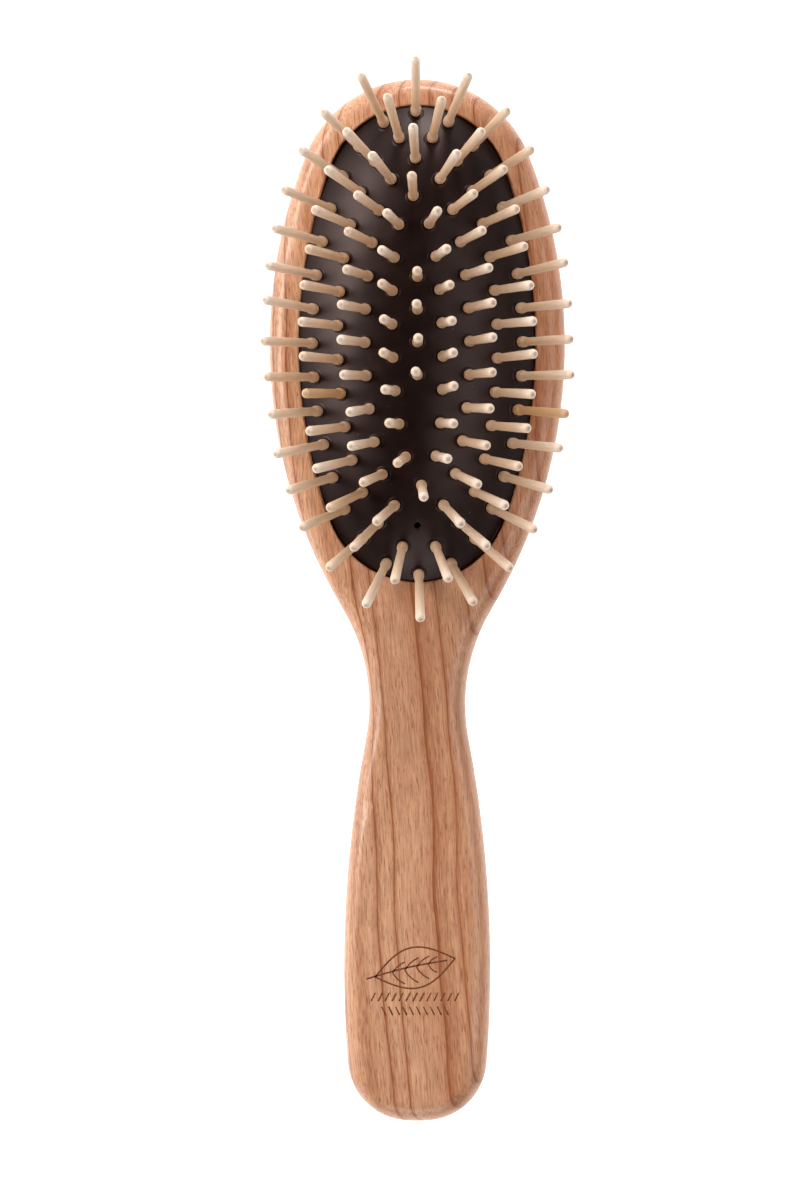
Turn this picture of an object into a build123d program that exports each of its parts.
from build123d import *

import math
import os

# Oval air-cushion hairbrush, lying on its flat back with the pins up.
# Millimetres. The origin is on the back face under the middle of the cushion,
# +X is to the right, +Y runs to the tip of the head and +Z is the way the pins point.

# --- Wooden body: one board, a drop-shaped head that narrows to a neck and widens to the handle
board_thickness = 15.0
head_tip_y = 57.4
handle_end_y = -168.0
head_half_width = 32.0
tip_narrowing = 6.0
neck_half_width = 10.4
neck_radius = 40.0
handle_half_width = 15.85
handle_side_radius = 260.0
handle_corner_radius = 13.5
handle_end_radius = 33.5
face_round = 4.0
back_round = 6.0
mouth_round = 0.5
head_end_radius = head_half_width - tip_narrowing

# --- Recess: an oval of four arcs, with a groove in its wall that grips the cushion's bead
side_wall = 6.5
end_wall = 6.0
recess_half_width = head_half_width - side_wall
recess_half_length = head_tip_y - end_wall
recess_end_radius = head_end_radius - end_wall
recess_depth = 8.0
groove_reach = 1.4
groove_height = 2.2

# --- Rubber cushion: a domed membrane with a skirt and a bead
rubber_thickness = 1.8
skirt_thickness = 1.5
skirt_depth = 5.0
seat_gap = 0.2
bead_gap = 0.1
rim_drop = 0.6
crown_rise = 9.6
shoulder_share = 0.2
end_flatness = 4.0
oval_fullness = 2.15
vent_diameter = 1.5

# --- Wooden pins: turned, with a foot under the rubber and a collar on top of it
pin_height = 18.6
pin_tip_diameter = 2.1
shaft_diameter = 1.8
neck_diameter = 1.6
collar_seat_width = 0.15
collar_bulge = 0.23
collar_height = 2.2
foot_diameter = 2.4
foot_height = 1.8
socket_clearance = 0.05
collar_clearance = 0.08
collar_seat_diameter = neck_diameter + 2 * collar_seat_width
collar_diameter = collar_seat_diameter + 2 * collar_bulge

# --- The rim ring's sockets: room for the feet beside the skirt. Pins at the ends lean so far
# out that their feet swing in from the skirt, and their sockets stand closer to it.
foot_side_room = 0.5
foot_end_swing = 1.0
foot_reach = seat_gap + skirt_thickness + foot_diameter / 2
rim_half_width = recess_half_width - foot_reach - foot_side_room
rim_half_length = recess_half_length - foot_reach + foot_end_swing

# --- Rings of sockets: half-width and half-length as shares of the rim ring's, count,
# first place in pitches, middle y, turn in degrees
rings = {
    "rim": (1.0, 1.0, 32, 0.0, 0.1, 0.35),
    "outer": (0.7602, 0.901, 28, 0.5, 0.1, 0.45),
    "middle": (0.4977, 0.7939, 24, 0.0, 0.0, 0.6),
    "inner": (0.2398, 0.6242, 18, 0.0, 0.3, 1.6),
}
vent_place = 12
centre_pin_count = 4
centre_first_y = 13.9
centre_pitch = 7.0


# --- Arcs and outlines ---------------------------------------------------------------------


def enclosing_radius(half_width, end_offset, end_radius):
    """Radius of a side arc, widest at y = 0, that runs tangent into an end arc inside it."""
    excess = half_width**2 - end_radius**2 + end_offset**2
    return excess / (2 * (half_width - end_radius))


def point_towards(start, target, distance):
    """The point at a distance from start on the line from start to target."""
    step = (Vector(*target) - Vector(*start)).normalized()
    return Vector(*start) + step * distance


def meeting_point(one, one_radius, two, two_radius):
    """Where two circles meet, on the +X side."""
    apart = Vector(*two) - Vector(*one)
    along = (one_radius**2 - two_radius**2 + apart.length**2) / (2 * apart.length)
    aside = math.sqrt(one_radius**2 - along**2)
    across = Vector(-apart.Y, apart.X).normalized()
    middle = Vector(*one) + apart.normalized() * along
    meetings = (middle + across * aside, middle - across * aside)
    return max(meetings, key=lambda meeting: meeting.X)


def arc(centre, start, end):
    """The shorter arc about centre from start to end."""
    middle = point_towards(centre, tuple((Vector(*start) + Vector(*end)) / 2), 1)
    radius = (Vector(*start) - Vector(*centre)).length
    ThreePointArc(start, Vector(*centre) + (middle - Vector(*centre)) * radius, end)


def oval(growth):
    """The recess's oval of two side arcs and two end arcs, grown outwards all round."""
    half_width = recess_half_width + growth
    half_length = recess_half_length + growth
    end_radius = recess_end_radius + growth
    end_offset = half_length - end_radius
    side_radius = enclosing_radius(half_width, end_offset, end_radius)
    side_centre = (half_width - side_radius, 0)
    end_centre = (0, end_offset)
    joint = point_towards(side_centre, end_centre, side_radius)
    with BuildLine() as outline:
        arc(end_centre, (0, half_length), joint)
        arc(side_centre, joint, (half_width, 0))
        mirror(about=Plane.XZ)
        mirror(about=Plane.YZ)
    return outline.line


def board_outline():
    """The body's outline: each side is six arcs, tangent to each other."""
    tip_centre = (0, head_tip_y - head_end_radius)
    side_radius = enclosing_radius(head_half_width, tip_centre[1], head_end_radius)
    side_centre = (head_half_width - side_radius, 0)
    tip_joint = point_towards(side_centre, tip_centre, side_radius)

    neck_x = neck_half_width + neck_radius
    neck_y = -math.sqrt((side_radius + neck_radius) ** 2 - (neck_x - side_centre[0]) ** 2)
    neck_centre = (neck_x, neck_y)
    head_joint = point_towards(side_centre, neck_centre, side_radius)

    grip_x = handle_half_width - handle_side_radius
    grip_fall = math.sqrt((neck_radius + handle_side_radius) ** 2 - (neck_x - grip_x) ** 2)
    grip_centre = (grip_x, neck_y - grip_fall)
    neck_joint = point_towards(neck_centre, grip_centre, neck_radius)

    end_centre = (0, handle_end_y + handle_end_radius)
    corner_centre = meeting_point(
        grip_centre,
        handle_side_radius - handle_corner_radius,
        end_centre,
        handle_end_radius - handle_corner_radius,
    )
    grip_joint = point_towards(grip_centre, corner_centre, handle_side_radius)
    end_joint = point_towards(end_centre, corner_centre, handle_end_radius)

    with BuildLine() as outline:
        arc(tip_centre, (0, head_tip_y), tip_joint)
        arc(side_centre, tip_joint, head_joint)
        arc(neck_centre, head_joint, neck_joint)
        arc(grip_centre, neck_joint, grip_joint)
        arc(corner_centre, grip_joint, end_joint)
        arc(end_centre, end_joint, (0, handle_end_y))
        mirror(about=Plane.YZ)
    return outline.line


# --- The dome's height ---------------------------------------------------------------------


def share_of_fall(level):
    """How much of the dome's fall is reached at a level, from 0 at the crown to 1 at the rim."""
    return (1 - shoulder_share) * level**2 + shoulder_share * level**4


def dome_level(x, y):
    """The level at a point: each level line is an oval, narrow at the crown, full at the rim."""
    low, high = 1e-4, 4.0
    for _ in range(40):
        level = (low + high) / 2
        across = abs(x) / (recess_half_width * level)
        along = abs(y) / (recess_half_length * share_of_fall(level) ** (1 / end_flatness))
        if across**oval_fullness + along**oval_fullness > 1:
            low = level
        else:
            high = level
    return (low + high) / 2


def dome_height(x, y):
    """Height of the cushion's outer face."""
    crown = board_thickness - rim_drop + crown_rise
    return crown - crown_rise * share_of_fall(dome_level(x, y))


def dome_normal(x, y):
    """Direction square to the cushion's outer face."""
    step = 0.05
    rise_x = (dome_height(x + step, y) - dome_height(x - step, y)) / (2 * step)
    rise_y = (dome_height(x, y + step) - dome_height(x, y - step)) / (2 * step)
    return Vector(-rise_x, -rise_y, 1).normalized()


def dome_face(depth):
    """The dome's surface, sunk square to itself by depth, past the rim on every side."""
    margin = 2.0
    across, along = 24, 40
    reach_x = recess_half_width + margin
    reach_y = recess_half_length + margin
    points = []
    for i in range(across + 1):
        x = reach_x * (2 * i / across - 1)
        row = []
        for j in range(along + 1):
            y = reach_y * (2 * j / along - 1)
            row.append((x, y, dome_height(x, y) - depth / dome_normal(x, y).Z))
        points.append(row)
    return Face.make_surface_from_array_of_points(points)


# --- Where the pins stand ------------------------------------------------------------------


def ring_places(share_across, share_along, count, first, middle_y, turn):
    """Points at an equal pitch round an ellipse, clockwise from its top end."""
    half_width = share_across * rim_half_width
    half_length = share_along * rim_half_length
    steps = 4000
    path = []
    for k in range(steps + 1):
        angle = 2 * math.pi * k / steps
        path.append(Vector(half_width * math.sin(angle), half_length * math.cos(angle)))
    walked = [0.0]
    for before, after in zip(path, path[1:]):
        walked.append(walked[-1] + (after - before).length)
    places = []
    for k in range(count):
        target = walked[-1] * (k + first) / count
        nearest = min(range(steps), key=lambda n: abs(walked[n] - target))
        place = path[nearest].rotate(Axis.Z, turn)
        places.append((place.X, place.Y + middle_y))
    return places


def socket(x, y):
    """A socket's place, with its Z along the pin."""
    normal = dome_normal(x, y)
    return Location(Plane(origin=(x, y, dome_height(x, y)), x_dir=(1, 0, 0), z_dir=normal))


def in_pairs(places):
    """Neighbours two by two, with a single one at the end of an odd row."""
    return [places[k : k + 2] for k in range(0, len(places), 2)]


# Each ring's pins in groups of one or two: a group shares one node and one axis to rock about.
groups = {}
for ring_name, ring_sizes in rings.items():
    around = ring_places(*ring_sizes)
    if ring_name == "middle":
        vent_at = around[vent_place]
        groups[ring_name] = in_pairs(around[:vent_place]) + in_pairs(around[vent_place + 1 :])
    else:
        groups[ring_name] = in_pairs(around)
groups["centre"] = [[(0.0, centre_first_y - k * centre_pitch)] for k in range(centre_pin_count)]

all_places = [place for ring in groups.values() for group in ring for place in group]


# --- Wooden body ---------------------------------------------------------------------------

face_z = board_thickness
skirt_z = face_z - skirt_depth
groove_z = skirt_z - bead_gap

board_edge = board_outline()
mouth_edge = oval(0.0)
groove_edge = oval(groove_reach)

with BuildPart() as wooden_body:
    with BuildSketch(Plane.XY):
        add(board_edge)
        make_face()
    extrude(amount=board_thickness)
    fillet(wooden_body.faces().sort_by(Axis.Z)[-1].outer_wire().edges(), face_round)
    fillet(wooden_body.faces().sort_by(Axis.Z)[0].outer_wire().edges(), back_round)
    with BuildSketch(Plane.XY.offset(face_z)):
        add(mouth_edge)
        make_face()
    extrude(amount=-recess_depth, mode=Mode.SUBTRACT)
    mouth = wooden_body.faces().sort_by(Axis.Z)[-1].inner_wires()[0]
    fillet(mouth.edges(), mouth_round)
    with BuildSketch(Plane.XY.offset(groove_z)):
        add(groove_edge)
        make_face()
    extrude(amount=groove_height, mode=Mode.SUBTRACT)

# --- Rubber cushion ------------------------------------------------------------------------

sky = crown_rise + face_z + recess_depth
skirt_edge = oval(-seat_gap)
inner_edge = oval(-seat_gap - skirt_thickness)
bead_edge = oval(groove_reach - seat_gap)
outer_face = dome_face(0.0)
inner_face = dome_face(rubber_thickness)

with BuildPart() as air_space:
    with BuildSketch(Plane.XY.offset(skirt_z - skirt_depth)):
        add(inner_edge)
        make_face()
    extrude(amount=sky)
    extrude(inner_face, amount=2 * sky, dir=(0, 0, -1), mode=Mode.INTERSECT)

with BuildPart() as cushion:
    with BuildSketch(Plane.XY.offset(skirt_z)):
        add(skirt_edge)
        make_face()
    extrude(amount=sky)
    extrude(outer_face, amount=2 * sky, dir=(0, 0, -1), mode=Mode.INTERSECT)
    with BuildSketch(Plane.XY.offset(skirt_z)):
        add(bead_edge)
        make_face()
    extrude(amount=groove_height - 2 * bead_gap)
    add(air_space.part, mode=Mode.SUBTRACT)
    with Locations(*[socket(*place) for place in all_places]):
        Cylinder(neck_diameter / 2 + socket_clearance, 4 * rubber_thickness, mode=Mode.SUBTRACT)
    with Locations(socket(*vent_at)):
        Cylinder(vent_diameter / 2, 4 * rubber_thickness, mode=Mode.SUBTRACT)

# --- One pin, with its socket's mouth at z = 0 ---------------------------------------------

foot_top = -(rubber_thickness + collar_clearance)
foot_bottom = foot_top - foot_height
collar_top = collar_clearance + collar_height
tip_radius = pin_tip_diameter / 2

with BuildPart() as pin:
    with BuildSketch(Plane.XZ):
        with BuildLine():
            foot_edge = (0.6 * foot_diameter / 2, foot_bottom)
            Line((0, foot_bottom), foot_edge)
            ThreePointArc(
                foot_edge,
                (foot_diameter / 2, foot_bottom + 0.55 * foot_height),
                (neck_diameter / 2, foot_top),
            )
            Line((neck_diameter / 2, foot_top), (neck_diameter / 2, collar_clearance))
            collar_edge = (collar_seat_diameter / 2, collar_clearance)
            Line((neck_diameter / 2, collar_clearance), collar_edge)
            ThreePointArc(
                collar_edge,
                (collar_diameter / 2, collar_clearance + 0.45 * collar_height),
                (shaft_diameter / 2, collar_top),
            )
            Line((shaft_diameter / 2, collar_top), (tip_radius, pin_height - tip_radius))
            RadiusArc((tip_radius, pin_height - tip_radius), (0, pin_height), -tip_radius)
            Line((0, pin_height), (0, foot_bottom))
        make_face()
    revolve(axis=Axis.Z)

# --- Write the pieces ----------------------------------------------------------------------

os.makedirs("parts", exist_ok=True)

wooden_body.part.label = "wooden_body"
export_step(wooden_body.part, "parts/wooden_body.step")

cushion.part.label = "rubber_cushion"
export_step(cushion.part, "parts/rubber_cushion.step")

for ring_name, ring_groups in groups.items():
    for number, group in enumerate(ring_groups, start=1):
        with BuildPart() as pins:
            with Locations(*[socket(*place) for place in group]):
                add(pin.part)
        pins.part.label = f"{ring_name}_pins_{number:02d}"
        export_step(pins.part, f"parts/{pins.part.label}.step")
